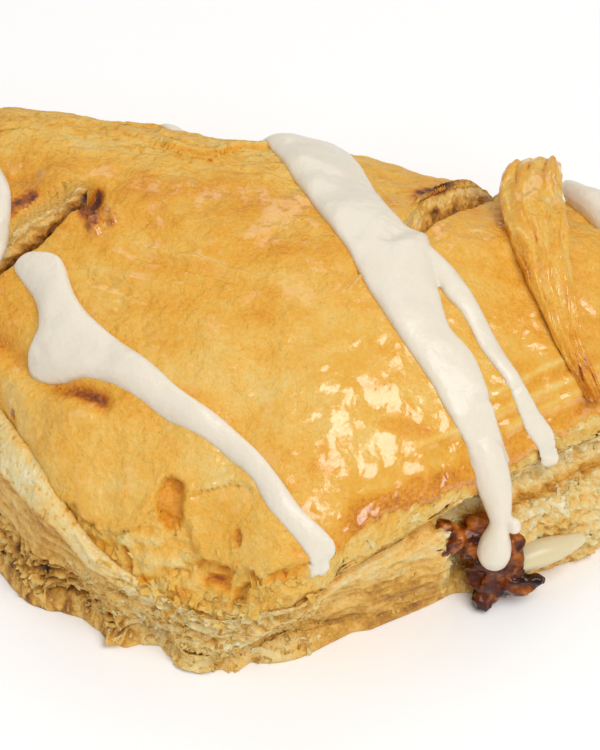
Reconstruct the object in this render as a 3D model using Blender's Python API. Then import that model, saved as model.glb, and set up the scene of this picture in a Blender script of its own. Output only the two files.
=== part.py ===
"""Apple turnover: a square of puff pastry folded over an apple filling, iced in loose stripes.

The folded sheet is one crust, hollow around the filling.  Its upper layer ends in a cut edge above
the lower layer, with a seam between them, and the filling has leaked out of the seam on one side.
+X runs along the fold, +Y points to the fold, +Z is up, and the turnover rests on Z = 0.
Sizes and places are in millimetres and are measured from the heart of the filling; the finished
solids are turned into metres and moved so that the origin is under the middle of the box.
"""
import math

import bmesh
import bpy
from mathutils import Vector
from mathutils.bvhtree import BVHTree

MM = 0.001
HEART = Vector((1.7, 3.7, 0.0))      # where the heart lies from the middle of the turnover's box

# The sheet: straight sides given as (direction of the side in degrees, distance from the heart).
UPPER_SHEET = ((90, 34.5), (-137, 41.0), (-98, 41.5), (-42.5, 34.6), (35, 88.5), (158, 84.0))
CORNER_SHARPNESS = 16
CROWN_HEIGHT = 38.5
CROWN_MIDDLE = -6.0
HALF_LENGTH = 80.0
HALF_DEPTH = 38.0
CROWN_DROP = 0.30                    # how much lower the crown is at the two tips, as a share

# Values around the turnover, as (direction in degrees, value), smoothed between their points.
RIM_HEIGHT = ((90, 15), (20, 15), (-20, 19), (-42, 19), (-70, 17), (-95, 10), (-115, 15), (-137, 22),
              (-165, 22), (165, 18), (150, 15))
SHOULDER = ((90, 0.27), (20, 0.42), (-42, 0.62), (-95, 0.72), (-137, 0.62), (-170, 0.5), (150, 0.32))
LOWER_OVERHANG = ((90, 0.5), (40, 1.0), (15, 4.0), (-15, 8.5), (-27, 6.0), (-40, 1.2), (-69, -0.6),
                  (-107, 2.2), (-145, 8.5), (175, 5.0), (140, 0.8))
SEAM_HEIGHT = ((90, 7), (20, 9), (-15, 13), (-42, 12), (-70, 10), (-95, 5), (-120, 9), (-140, 14),
               (-165, 13), (165, 10), (140, 7))
SEAM_DEPTH = ((90, 0), (30, 0), (10, 1.5), (-30, 2.6), (-60, 2.2), (-95, 1.0), (-140, 1.2),
              (-165, 1.5), (165, 1.0), (150, 0))

# The vents cut through the upper layer: the far lip stands over the opening and has curled up.
VENT_NEAR_SLOPE = 3.0                # from the near lip in to the full depth
VENT_FAR_SLOPE = 1.6
VENT_LIP_WIDTH = 6.5
VENT_END_SHARE = 0.22                # share of a vent's length over which it closes at each end
VENTS = (
    {"start": (-47.5, -4.5), "end": (-30.5, 10.5), "half_width": 3.9, "depth": 9.5, "lip": 1.4},
    {"start": (11.5, 7.0), "end": (21.5, 31.0), "half_width": 3.4, "depth": 8.5, "lip": 1.2},
)

CRUST_CELLS = (48, 28)
FILLING_CELLS = (20, 10)
CRUST_TOP = 7.0                      # from the outside of the upper layer to the filling
CRUST_BOTTOM = 4.5
FILLING_EDGE = 12.0                  # height of the filling's edge
CRUST_SIDE = 13.0                    # the sealed border between the filling and the sheet's edge
GAP = 0.3                            # clear space between touching solids
ICING_GAP = 0.6
BED_REACH = 1.9                      # icing bridges hollows narrower than about twice this
ICING_END_SHARE = 0.07               # share of a run's length that is its rounded end
ICING_THICKNESS = 2.4
STRIPE_THICKNESS = 3.0


def blend(direction, keys):
    """Read a value around the turnover, easing from one key to the next."""
    ordered = sorted(((a + 180) % 360 - 180, v) for a, v in keys)
    ordered.append((ordered[0][0] + 360, ordered[0][1]))
    turned = (direction - ordered[0][0]) % 360 + ordered[0][0]
    for (a0, v0), (a1, v1) in zip(ordered, ordered[1:]):
        if a0 <= turned <= a1:
            share = (turned - a0) / (a1 - a0)
            return v0 + (v1 - v0) * share * share * (3 - 2 * share)
    return ordered[0][1]


def upper_reach(direction):
    """Distance from the heart to the upper layer's edge: straight sides with rounded corners."""
    total = 0.0
    for side, distance in UPPER_SHEET:
        total += max(0.0, math.cos(math.radians(direction - side)) / distance) ** CORNER_SHARPNESS
    return total ** (-1 / CORNER_SHARPNESS)


def lower_reach(direction):
    return upper_reach(direction) + blend(direction, LOWER_OVERHANG)


def dome_height(x, y):
    """Height of the upper layer before its vents: a crown along the fold, falling to the rim."""
    direction = math.degrees(math.atan2(y, x))
    share = min(1.0, math.hypot(x, y) / upper_reach(direction))
    rim = blend(direction, RIM_HEIGHT)
    crown = CROWN_HEIGHT * (1 - CROWN_DROP * abs((x - CROWN_MIDDLE) / HALF_LENGTH) ** 2.6)
    return rim + (crown - rim) * (1 - share * share) ** blend(direction, SHOULDER)


def ease(value):
    value = min(1.0, max(0.0, value))
    return value * value * (3 - 2 * value)


def vent_shape(x, y):
    """How far a vent sinks (negative) or its upper lip lifts (positive) the upper layer here."""
    change = 0.0
    for vent in VENTS:
        start = Vector(vent["start"])
        run = Vector(vent["end"]) - start
        offset = Vector((x, y)) - start
        along = offset.dot(run) / run.length_squared
        across = (run.x * offset.y - run.y * offset.x) / run.length
        ends = ease(along / VENT_END_SHARE) * ease((1 - along) / VENT_END_SHARE)
        inside = vent["half_width"] + across
        beyond = across - vent["half_width"]
        sunk = ease(inside / VENT_NEAR_SLOPE) * ease(-beyond / VENT_FAR_SLOPE)
        lifted = ease(1 + beyond) * ease(1 - beyond / VENT_LIP_WIDTH)
        change += ends * (vent["lip"] * lifted - vent["depth"] * sunk)
    return change


def crust_height(x, y):
    return dome_height(x, y) + vent_shape(x, y)


def material(name, colour, roughness):
    made = bpy.data.materials.new(name)
    made.use_nodes = True
    shader = made.node_tree.nodes["Principled BSDF"]
    shader.inputs["Base Color"].default_value = (*colour, 1.0)
    shader.inputs["Roughness"].default_value = roughness
    shader.inputs["Metallic"].default_value = 0.0
    return made


def solid(name, bm, finish=None, is_guide=False):
    """Turn a bmesh in millimetres around the heart into an object in metres."""
    bmesh.ops.recalc_face_normals(bm, faces=bm.faces)
    bmesh.ops.translate(bm, verts=bm.verts, vec=HEART)
    bmesh.ops.scale(bm, verts=bm.verts, vec=(MM, MM, MM))
    mesh = bpy.data.meshes.new(name)
    bm.to_mesh(mesh)
    bm.free()
    made = bpy.data.objects.new(name, mesh)
    bpy.context.collection.objects.link(made)
    if finish:
        mesh.materials.append(finish)
    if is_guide:
        made.hide_render = True
        made.display_type = "WIRE"
    return made


def boolean(target, other, operation):
    change = target.modifiers.new(operation.lower() + "_" + other.name, "BOOLEAN")
    change.operation = operation
    change.object = other
    change.solver = "EXACT"


def sheet_place(u, v, inset):
    """Map a square sheet's point, -1 to 1 each way, into the sheet's outline less an inset."""
    share = max(abs(u), abs(v))
    if share == 0:
        return 0.0, 0.0
    direction = math.atan2(v * HALF_DEPTH, u * HALF_LENGTH)
    reach = share * (upper_reach(math.degrees(direction)) - inset)
    return reach * math.cos(direction), reach * math.sin(direction)


def sheet_grid(bm, cells, inset, height):
    made = bmesh.ops.create_grid(bm, x_segments=cells[0], y_segments=cells[1], size=1.0)["verts"]
    for vert in made:
        x, y = sheet_place(vert.co.x, vert.co.y, inset)
        vert.co = (x, y, height(x, y))
    return made


# ---- crust: the folded sheet ----------------------------------------------------------------

def edge_rings(direction):
    """The cut edge seen end on, top to bottom, as (distance from the heart, height)."""
    upper = upper_reach(direction)
    lower = lower_reach(direction)
    rim = blend(direction, RIM_HEIGHT)
    seam = blend(direction, SEAM_HEIGHT)
    depth = blend(direction, SEAM_DEPTH)
    return (
        (upper + 0.2 * depth, rim - 0.35 * (rim - seam)),
        (upper - depth, seam + 0.3),
        (upper + 0.35 * (lower - upper), seam - 1.2),
        (lower, 0.42 * seam),
        (lower - 0.4, 1.2),
        (lower - 1.8, 0.0),
    )


def crust_skin():
    bm = bmesh.new()
    sheet_grid(bm, CRUST_CELLS, 0.0, crust_height)
    ring = [edge for edge in bm.edges if edge.is_boundary]
    for step in range(len(edge_rings(0.0))):
        extruded = bmesh.ops.extrude_edge_only(bm, edges=ring)["geom"]
        ring = [part for part in extruded if isinstance(part, bmesh.types.BMEdge)]
        for vert in (part for part in extruded if isinstance(part, bmesh.types.BMVert)):
            direction = math.atan2(vert.co.y, vert.co.x)
            reach, height = edge_rings(math.degrees(direction))[step]
            vert.co = (reach * math.cos(direction), reach * math.sin(direction), height)
    bmesh.ops.edgenet_fill(bm, edges=ring)
    return bm


def route_points(stations, count):
    """Smooth curve through a few stations, each a tuple of numbers, by Catmull-Rom."""
    points = []
    last = len(stations) - 1
    for step in range(count + 1):
        place = step / count * last
        index = min(int(place), last - 1)
        t = place - index
        p0, p1, p2, p3 = (stations[min(max(index + k, 0), last)] for k in (-1, 0, 1, 2))
        points.append(tuple(
            0.5 * (2 * b + (c - a) * t + (2 * a - 5 * b + 4 * c - d) * t * t
                   + (3 * b - a - 3 * c + d) * t ** 3)
            for a, b, c, d in zip(p0, p1, p2, p3)))
    return points


def bridge_rings(bm, rings):
    """Join closed rings of vertices into one capped body."""
    loops = []
    for ring in rings:
        verts = [bm.verts.new(place) for place in ring]
        loops.append([bm.edges.new((verts[k - 1], verts[k])) for k in range(len(verts))])
    for first, second in zip(loops, loops[1:]):
        bmesh.ops.bridge_loops(bm, edges=first + second)
    for end in (loops[0], loops[-1]):
        bmesh.ops.edgenet_fill(bm, edges=end)


def ear():
    """The strip of dough that stands up off the back and lies down over the right shoulder."""
    stations = ((28.6, 30.5, 35.0, 4.3), (29.4, 26.0, 35.2, 4.7), (31.2, 18.0, 34.6, 4.3),
                (33.6, 11.0, 33.2, 3.6), (37.0, 6.0, 30.6, 2.9), (40.8, 1.2, 26.2, 2.0),
                (43.2, -1.6, 22.6, 1.2))
    rings = []
    for x, y, z, half_width in route_points(stations, 14):
        ring = []
        for step in range(10):
            turn = 2 * math.pi * step / 10
            side = half_width * math.cos(turn)
            ring.append((x + side * 0.94, y + side * 0.34, z + 2.6 * math.sin(turn)))
        rings.append(ring)
    bm = bmesh.new()
    bridge_rings(bm, rings)
    return bm


# ---- filling ----------------------------------------------------------------------------------

def filling_body(grow):
    """Cooked apple inside: rounded over, and level with the vents' floors so that it shows there."""
    bm = bmesh.new()
    inset = CRUST_SIDE - grow

    def bulge(x, y):
        reach = upper_reach(math.degrees(math.atan2(y, x))) - inset
        return math.sqrt(max(0.0, 1 - (math.hypot(x, y) / reach) ** 4))

    def top(x, y):
        edge = FILLING_EDGE + 1.0 + grow
        return edge + (dome_height(x, y) - CRUST_TOP + grow - edge) * bulge(x, y)

    def bottom(x, y):
        edge = FILLING_EDGE - 1.0 - grow
        return edge + (CRUST_BOTTOM - grow - edge) * bulge(x, y)

    sheet_grid(bm, FILLING_CELLS, inset, top)
    sheet_grid(bm, FILLING_CELLS, inset, bottom)
    bmesh.ops.bridge_loops(bm, edges=[edge for edge in bm.edges if edge.is_boundary])
    return bm


def filling_leak(grow):
    """Syrupy filling that has run out of the seam, over the lower layer and on to the plate."""
    stations = ((17.0, 0.0, 13.5, 3.4, 2.6), (27.0, -13.0, 12.8, 4.6, 2.0), (31.0, -19.5, 11.8, 5.2, 1.8),
                (32.6, -22.6, 9.4, 4.6, 2.1), (33.6, -24.6, 6.2, 4.4, 2.2), (34.4, -25.2, 3.4, 4.8, 2.6),
                (34.8, -25.3, 0.6, 3.6, 2.1))
    side = Vector((0.86, 0.5, 0.0))
    rings = []
    places = route_points(stations, 14)
    for step, (x, y, z, half_width, half_height) in enumerate(places):
        ahead = Vector(places[min(step + 1, 14)][:3]) - Vector(places[max(step - 1, 0)][:3])
        rise = side.cross(ahead).normalized()
        ring = []
        for k in range(12):
            turn = 2 * math.pi * k / 12
            ring.append(Vector((x, y, z)) + side * (half_width + grow) * math.cos(turn)
                        + rise * (half_height + grow) * math.sin(turn))
        for place in ring:
            place.z = max(place.z, 0.25)
        rings.append(ring)
    bm = bmesh.new()
    bridge_rings(bm, rings)
    return bm


# ---- icing ------------------------------------------------------------------------------------

def icing_run(crust, stations, thickness, count, gap=ICING_GAP):
    """A run of icing resting on the crust, from stations of (x, y, half width)."""
    across = (-1.0, -0.75, 0.0, 0.75, 1.0)
    places = route_points(stations, count)
    rings = []
    for step, (x, y, half_width) in enumerate(places):
        ahead = Vector(places[min(step + 1, count)][:2]) - Vector(places[max(step - 1, 0)][:2])
        side = Vector((-ahead.y, ahead.x)).normalized()
        taper = round_end(min(step, count - step) / count)
        under = []
        over = []
        for share in across:
            px = x + side.x * half_width * taper * share
            py = y + side.y * half_width * taper * share
            bed = icing_bed(crust, px, py) + gap
            under.append((px, py, bed))
            if abs(share) < 1:
                over.append((px, py, bed + thickness * taper * (1 - abs(share) ** 3) ** 0.5))
        rings.append(under + over[::-1])
    bm = bmesh.new()
    bridge_rings(bm, rings)
    return bm


def round_end(share):
    """Share of its full width that a run has this far along from its nearer end."""
    left = 1 - min(1.0, (share + 0.012) / ICING_END_SHARE)
    return math.sqrt(1 - left * left)


def icing_bed(crust, x, y):
    """Icing bridges what is narrower than itself, so it rests on the highest crust close by."""
    highest = 0.0
    for k in range(9):
        turn = 2 * math.pi * k / 8
        reach = BED_REACH if k < 8 else 0.0
        above = Vector((x + reach * math.cos(turn), y + reach * math.sin(turn), 80.0))
        hit = crust.ray_cast(above, Vector((0.0, 0.0, -1.0)))[0]
        highest = max(highest, hit.z if hit else 0.0)
    return highest


def icing_drip():
    """Where the main stripe runs over the rim and hangs in a drop in front of the seam."""
    stations = ((29.0, -15.0, 27.2, 1.0), (31.4, -18.0, 24.8, 1.4), (33.0, -19.9, 21.4, 1.5),
                (33.6, -21.0, 18.0, 1.7), (33.7, -21.6, 15.8, 2.3), (33.6, -21.7, 14.0, 2.0),
                (33.6, -21.7, 13.2, 0.8))
    rings = []
    for x, y, z, radius in route_points(stations, 10):
        turns = (2 * math.pi * k / 10 for k in range(10))
        rings.append([(x + radius * math.cos(turn), y + radius * math.sin(turn), z) for turn in turns])
    bm = bmesh.new()
    bridge_rings(bm, rings)
    return bm


ICING_RUNS = {
    "icing_stripe_front_left": (
        (-38.6, -1.4, 2.4), (-36.0, -4.6, 2.7), (-32.8, -9.0, 3.2), (-30.0, -14.6, 4.4), (-24.5, -17.2, 3.4),
        (-16.5, -19.8, 2.9), (-9.5, -23.6, 2.4), (-3.0, -26.8, 2.2), (2.5, -30.6, 2.4), (7.4, -33.9, 2.7),
        (11.6, -35.6, 2.3)),
    "icing_lobe_left": (
        (-62.0, 27.0, 3.0), (-55.5, 21.5, 4.2), (-49.0, 14.0, 5.0), (-46.0, 6.0, 4.8), (-46.6, -1.0, 4.0),
        (-48.0, -5.0, 2.6)),
    "icing_stripe_far_left": (
        (-69.0, 26.0, 2.0), (-65.5, 21.0, 2.8), (-61.5, 14.5, 3.2), (-58.0, 8.0, 2.8), (-56.0, 4.0, 1.8)),
    "icing_drop_back": ((-25.5, 31.6, 2.0), (-23.4, 29.6, 2.6), (-21.6, 27.8, 1.6)),
    "icing_stripe_right": (
        (36.4, 30.4, 2.4), (40.5, 26.6, 3.6), (46.0, 20.0, 4.0), (50.5, 13.5, 3.8), (53.0, 9.0, 3.0),
        (54.3, 6.0, 2.0)),
}
MAIN_STRIPE = ((-8.0, 31.8, 4.6), (-4.5, 25.5, 5.6), (1.0, 17.0, 5.7), (7.0, 9.2, 5.6), (14.3, 2.2, 6.0),
               (20.3, -4.2, 5.9), (25.6, -10.6, 4.7), (28.6, -14.4, 4.0), (30.2, -16.4, 3.2))
BRANCH = ((18.5, 5.5, 2.4), (24.8, -0.8, 2.2), (28.5, -4.4, 1.9), (32.1, -7.0, 1.9), (35.8, -8.9, 1.8),
          (38.4, -10.4, 1.4))


def build():
    for old in list(bpy.data.objects):
        bpy.data.objects.remove(old, do_unlink=True)

    pastry = material("baked_puff_pastry", (0.76, 0.40, 0.09), 0.45)
    apple = material("cooked_apple_syrup", (0.22, 0.05, 0.01), 0.25)
    sugar = material("sugar_icing", (0.80, 0.73, 0.60), 0.35)

    skin = crust_skin()
    on_crust = BVHTree.FromBMesh(skin)
    crust = solid("pastry_crust", skin, pastry)
    boolean(crust, solid("ear_guide", ear(), is_guide=True), "UNION")
    boolean(crust, solid("filling_room", filling_body(GAP), is_guide=True), "DIFFERENCE")
    boolean(crust, solid("leak_room", filling_leak(GAP), is_guide=True), "DIFFERENCE")

    filling = solid("apple_filling", filling_body(0.0), apple)
    boolean(filling, solid("leak_guide", filling_leak(0.0), is_guide=True), "UNION")

    for name, stations in ICING_RUNS.items():
        solid(name, icing_run(on_crust, stations, ICING_THICKNESS, 3 * len(stations)), sugar)
    stripe = solid("icing_stripe_main", icing_run(on_crust, MAIN_STRIPE, STRIPE_THICKNESS, 26), sugar)
    branch = solid("branch_guide", icing_run(on_crust, BRANCH, 2.1, 12, gap=0.9), is_guide=True)
    boolean(stripe, branch, "UNION")
    boolean(stripe, solid("drip_guide", icing_drip(), is_guide=True), "UNION")


build()
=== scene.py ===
"""Iced apple turnover: puff pastry folded over apple filling, glazed, vented and striped with icing.

Sizes and places are in millimetres from the heart of the filling, +X along the fold and +Y towards
it; each finished mesh is moved to the frame's place and turned into metres.
"""
import math
import random

import bmesh
import bpy
import numpy as np
from mathutils import Matrix, Vector, noise
from mathutils.bvhtree import BVHTree


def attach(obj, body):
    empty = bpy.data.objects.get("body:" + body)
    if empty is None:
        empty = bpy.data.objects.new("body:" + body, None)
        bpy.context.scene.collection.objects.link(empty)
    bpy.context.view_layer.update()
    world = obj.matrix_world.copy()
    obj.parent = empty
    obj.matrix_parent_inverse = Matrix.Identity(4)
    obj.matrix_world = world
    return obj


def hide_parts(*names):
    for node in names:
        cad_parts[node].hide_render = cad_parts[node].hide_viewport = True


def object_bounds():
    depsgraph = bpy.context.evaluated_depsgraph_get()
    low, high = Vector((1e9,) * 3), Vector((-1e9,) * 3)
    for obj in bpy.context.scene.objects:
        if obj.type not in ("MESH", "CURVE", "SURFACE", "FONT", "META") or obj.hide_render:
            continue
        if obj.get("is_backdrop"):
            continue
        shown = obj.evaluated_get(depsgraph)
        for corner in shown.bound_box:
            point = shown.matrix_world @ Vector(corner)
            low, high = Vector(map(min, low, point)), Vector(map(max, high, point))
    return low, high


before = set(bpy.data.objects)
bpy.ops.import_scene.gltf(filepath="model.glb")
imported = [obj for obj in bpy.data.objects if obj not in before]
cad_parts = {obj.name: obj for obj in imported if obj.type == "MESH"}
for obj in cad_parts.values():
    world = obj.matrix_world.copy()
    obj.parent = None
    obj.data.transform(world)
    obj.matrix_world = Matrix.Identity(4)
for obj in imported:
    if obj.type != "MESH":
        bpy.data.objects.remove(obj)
cad_low, cad_high = (Vector(corner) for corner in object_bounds())

# ==== Camera, floor and studio light =============================================================
# A table-top food set-up: a white sweep under the turnover, one big soft box high on the right in
# front, a second one behind on the left, and a long lens that looks steeply down.
MM = 0.001
HEART = Vector(((cad_low.x + cad_high.x) / 2 + 1.7 * MM, (cad_low.y + cad_high.y) / 2 + 3.7 * MM, cad_low.z))
AIM = HEART + Vector((0.0, 2.0, 14.0)) * MM
CAMERA_AZIMUTH = math.radians(12)
CAMERA_ELEVATION = math.radians(48)
CAMERA_DISTANCE = 560 * MM

eye = Vector((math.sin(CAMERA_AZIMUTH) * math.cos(CAMERA_ELEVATION),
              -math.cos(CAMERA_AZIMUTH) * math.cos(CAMERA_ELEVATION),
              math.sin(CAMERA_ELEVATION)))
lens = bpy.data.cameras.new("table_camera")
lens.lens = 190
lens.clip_start = 0.01
camera = bpy.data.objects.new("table_camera", lens)
camera.location = AIM + eye * CAMERA_DISTANCE
camera.rotation_euler = (-eye).to_track_quat("-Z", "Y").to_euler()
bpy.context.collection.objects.link(camera)
bpy.context.scene.camera = camera


def soft_box(name, towards, distance, size, watts):
    """A square soft box aimed at the turnover; towards is the way it stands from the turnover."""
    light = bpy.data.lights.new(name, "AREA")
    light.size = size
    light.energy = watts
    box = bpy.data.objects.new(name, light)
    way = Vector(towards).normalized()
    box.location = AIM + way * distance
    box.rotation_euler = (-way).to_track_quat("-Z", "Y").to_euler()
    bpy.context.collection.objects.link(box)


soft_box("key_soft_box", (0.42, -0.38, 0.83), 0.9, 0.6, 5.6)
soft_box("fill_soft_box", (-0.75, -0.35, 0.75), 1.1, 0.9, 1.8)
soft_box("back_soft_box", (-0.2, 0.8, 0.75), 1.1, 0.8, 2.3)


def linear(hex_colour):
    """Turn an sRGB hex colour into the linear values that shaders take."""
    parts = [int(hex_colour[k:k + 2], 16) / 255 for k in (1, 3, 5)]
    return tuple(p / 12.92 if p <= 0.04045 else ((p + 0.055) / 1.055) ** 2.4 for p in parts) + (1.0,)


def new_material(name, **sockets):
    """A Principled material; sockets are set by name with underscores for spaces."""
    made = bpy.data.materials.new(name)
    made.use_nodes = True
    shader = made.node_tree.nodes["Principled BSDF"]
    for socket, value in sockets.items():
        shader.inputs[socket.replace("_", " ")].default_value = value
    return made, made.node_tree, shader


def add_node(tree, kind, inputs=None, stops=(), **settings):
    """Add a node, set its properties and colour stops, and fill its inputs with numbers or with links."""
    made = tree.nodes.new(kind)
    for _ in stops[2:]:
        made.color_ramp.elements.new(0.5)
    for k, (position, colour) in enumerate(stops):
        stop = made.color_ramp.elements[k]
        stop.position = position
        stop.color = linear(colour)
    for key, value in settings.items():
        setattr(made, key, value)
    for key, value in (inputs or {}).items():
        if isinstance(value, bpy.types.NodeSocket):
            tree.links.new(value, made.inputs[key])
        else:
            made.inputs[key].default_value = value
    return made


world = bpy.data.worlds.new("studio")
world.use_nodes = True
world.node_tree.nodes["Background"].inputs["Color"].default_value = (1.0, 1.0, 1.0, 1.0)
world.node_tree.nodes["Background"].inputs["Strength"].default_value = 0.35
bpy.context.scene.world = world
bpy.context.scene.view_settings.view_transform = "Standard"

# Matt white card: no gloss, so that it falls away to plain white.
card, _, _ = new_material("matt_white_card", Base_Color=linear("#ffffff"), Roughness=0.9,
                          Specular_IOR_Level=0.1)
sweep = bmesh.new()
bmesh.ops.create_grid(sweep, x_segments=2, y_segments=2, size=3.0)
bmesh.ops.translate(sweep, verts=sweep.verts, vec=(0.0, 0.0, cad_low.z - 0.0001))
floor_mesh = bpy.data.meshes.new("floor")
sweep.to_mesh(floor_mesh)
sweep.free()
floor_mesh.materials.append(card)
floor = bpy.data.objects.new("floor", floor_mesh)
bpy.context.collection.objects.link(floor)
floor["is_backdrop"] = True

# ==== Baked dough: the one material of every crust piece =========================================
# Puff pastry of wheat flour and butter.  One tone runs from raw pale crumb through gold to burnt.
# A glaze value says how much egg wash and syrup lies on it, in flat patches with ragged borders.
SKIN_TONES = ((0.00, "#eadbae"), (0.18, "#e6c87c"), (0.36, "#e8b752"), (0.50, "#e6a632"),
              (0.62, "#dc911c"), (0.74, "#b3600c"), (0.86, "#733817"), (1.00, "#331718"))
CRUMB_TONES = ((0.00, "#f2e8c4"), (0.20, "#ead293"), (0.40, "#eabc62"), (0.55, "#d09838"),
               (0.72, "#a26c22"), (0.88, "#5f3416"), (1.00, "#2a140e"))


def dough_material(name, tones, mottle, bump_heights, wet_roughness):
    """Baked dough, coloured by tones.  mottle is how far the tone wanders; bumps are (size, height) mm."""
    made, tree, shader = new_material(name, Metallic=0.0, IOR=1.47, Subsurface_Weight=0.15,
                                      Subsurface_Radius=(2.0, 1.0, 0.4), Subsurface_Scale=0.0008)
    spots = add_node(tree, "ShaderNodeTexCoord").outputs["Object"]
    tone = add_node(tree, "ShaderNodeAttribute", attribute_name="tone").outputs["Fac"]
    glaze = add_node(tree, "ShaderNodeAttribute", attribute_name="glaze").outputs["Fac"]
    for size, share, detail in ((9.0, 0.32, 4.0), (2.4, 0.30, 3.0), (0.5, 0.40, 3.0)):
        patch = add_node(tree, "ShaderNodeTexNoise",
                         {"Vector": spots, "Scale": 1 / (size * MM), "Detail": detail})
        swing = add_node(tree, "ShaderNodeMath", {0: patch.outputs["Fac"], 1: 0.5}, operation="SUBTRACT")
        tone = add_node(tree, "ShaderNodeMath", {0: swing.outputs[0], 1: mottle * share * 2, 2: tone},
                        operation="MULTIPLY_ADD").outputs[0]
    ramp = add_node(tree, "ShaderNodeValToRGB", {"Fac": tone}, tones)
    tree.links.new(ramp.outputs["Color"], shader.inputs["Base Color"])

    pool = add_node(tree, "ShaderNodeTexNoise", {"Vector": spots, "Scale": 1 / (4.5 * MM), "Detail": 8.0,
                                                 "Roughness": 0.68})
    level = add_node(tree, "ShaderNodeMath", {0: pool.outputs["Fac"], 1: glaze}, operation="ADD")
    wet = add_node(tree, "ShaderNodeMapRange",
                   {"Value": level.outputs[0], "From Min": 1.02, "From Max": 1.10}, clamp=True)
    wet = wet.outputs["Result"]
    rough = add_node(tree, "ShaderNodeMapRange", {"Value": wet, "To Min": 0.52, "To Max": wet_roughness})
    tree.links.new(rough.outputs["Result"], shader.inputs["Roughness"])
    coat = add_node(tree, "ShaderNodeMath", {0: wet, 1: 0.9}, operation="MULTIPLY")
    tree.links.new(coat.outputs[0], shader.inputs["Coat Weight"])
    shader.inputs["Coat Roughness"].default_value = 0.06
    relief = add_node(tree, "ShaderNodeMapRange", {"Value": wet, "To Min": 1.0, "To Max": 0.24})

    normal = None
    for size, height in bump_heights:
        bumps = add_node(tree, "ShaderNodeTexNoise",
                         {"Vector": spots, "Scale": 1 / (size * MM), "Detail": 3.0})
        bump = add_node(tree, "ShaderNodeBump", {"Height": bumps.outputs["Fac"], "Distance": height * MM,
                                                 "Strength": relief.outputs["Result"]})
        if normal:
            tree.links.new(normal, bump.inputs["Normal"])
        normal = bump.outputs["Normal"]
    tree.links.new(normal, shader.inputs["Normal"])
    return made


glazed_dough = dough_material("egg_washed_puff_pastry", SKIN_TONES, 0.40,
                              ((2.2, 0.50), (0.8, 0.30), (0.3, 0.11)), 0.10)
cut_dough = dough_material("cut_puff_pastry", CRUMB_TONES, 0.38, ((1.6, 0.5), (0.5, 0.28)), 0.3)


# ==== Upper sheet: the glazed top ================================================================
# The half of the dough square folded over the filling.  It is crowned along the fold, falls to a
# cut rim, is slit by two steam vents and has lost its skin at the near corner.
UPPER_SHEET = ((90, 34.5), (-137, 41.0), (-98, 41.5), (-42.5, 34.6), (35, 88.5), (158, 84.0))
CORNER_SHARPNESS = 16
CROWN_HEIGHT = 38.5
CROWN_MIDDLE = -6.0
HALF_LENGTH = 80.0
HALF_DEPTH = 38.0
SHEET_COLUMNS = 410
SHEET_ROWS = 224
RIM_HEIGHT = ((90, 15), (20, 15), (-20, 19.5), (-42, 19.8), (-66, 19), (-80, 15.5), (-95, 11),
              (-115, 15.5), (-137, 22), (-165, 22), (165, 18), (150, 15))
SHOULDER = ((90, 0.27), (20, 0.42), (-42, 0.62), (-95, 0.72), (-137, 0.62), (-170, 0.5), (150, 0.32))
LOWER_OVERHANG = ((90, 0.5), (40, 1.0), (15, 4.0), (-15, 8.5), (-27, 6.0), (-40, 1.2), (-69, -0.6),
                  (-107, 2.2), (-145, 8.5), (175, 5.0), (140, 0.8))
VENTS = (
    {"start": (-48.0, -7.5), "end": (-31.3, 13.0), "half_width": 3.3, "depth": 10.5, "lip": 1.5},
    {"start": (10.6, 4.5), "end": (23.0, 35.0), "half_width": 3.0, "depth": 7.5, "lip": 0.9},
)
# The edge of the golden skin, from the left rim round the torn hole and along the right-hand front;
# the crack round the loose piece of skin beside the hole; and the stained crease on the left.
SKIN_EDGE = ((-29.0, -30.6), (-24.0, -33.2), (-20.4, -35.3), (-18.9, -35.8), (-16.0, -36.2), (-14.0, -35.6),
             (-12.7, -33.8), (-11.9, -31.4), (-10.2, -30.6), (-8.8, -31.6), (-8.2, -34.0), (-6.4, -36.0),
             (-5.2, -37.4), (-2.5, -38.0), (0.3, -38.3), (3.4, -39.0), (7.0, -38.0), (10.0, -36.6),
             (13.5, -34.8), (14.3, -33.1), (15.9, -30.9), (18.7, -28.1), (22.7, -24.8), (27.3, -20.5),
             (31.9, -16.1), (36.8, -10.1), (43.3, -2.9), (52, 5.2), (62, 14.6), (72, 24), (80, 31.5))
CRACK = ((-8.3, -32.5), (-6.4, -31.7), (-4.6, -31.0), (-2.8, -30.4), (-0.9, -30.5), (0.2, -30.9),
         (1.1, -32.2), (0.9, -33.2), (-0.2, -34.6), (-1.0, -35.2), (-1.4, -36.2), (-0.6, -37.4))
CREASE = ((-50, -8.0), (-44, -10.0), (-39, -13.3), (-35.0, -16.8), (-31.6, -19.2), (-28.5, -20.6),
          (-25.5, -21.5), (-22.3, -22.9), (-20.5, -24.6))


def ease(value):
    """Ease smoothly from 0 to 1, and stay there outside."""
    value = np.clip(value, 0.0, 1.0)
    return value * value * (3 - 2 * value)


def between(value, low, high, rising, falling):
    """1 between low and high, easing in over the rising width and out over the falling one."""
    return ease((value - low) / rising) * ease((high - value) / falling)


def bell(value, width):
    """1 at zero, falling off on both sides over the width."""
    return np.exp(-(value / width) ** 2)


def around(direction, keys):
    """Read values around the turnover, easing from one key to the next."""
    ordered = sorted(((a + 180) % 360 - 180, v) for a, v in keys)
    ordered.append((ordered[0][0] + 360, ordered[0][1]))
    turned = (direction - ordered[0][0]) % 360 + ordered[0][0]
    read = np.zeros_like(turned)
    for (a0, v0), (a1, v1) in zip(ordered, ordered[1:]):
        here = (turned >= a0) & (turned <= a1)
        read[here] = v0 + (v1 - v0) * ease((turned[here] - a0) / (a1 - a0))
    return read


def polar(reach, degrees):
    """Places at some reach from the heart, by direction."""
    return reach * np.cos(np.radians(degrees)), reach * np.sin(np.radians(degrees))


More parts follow.
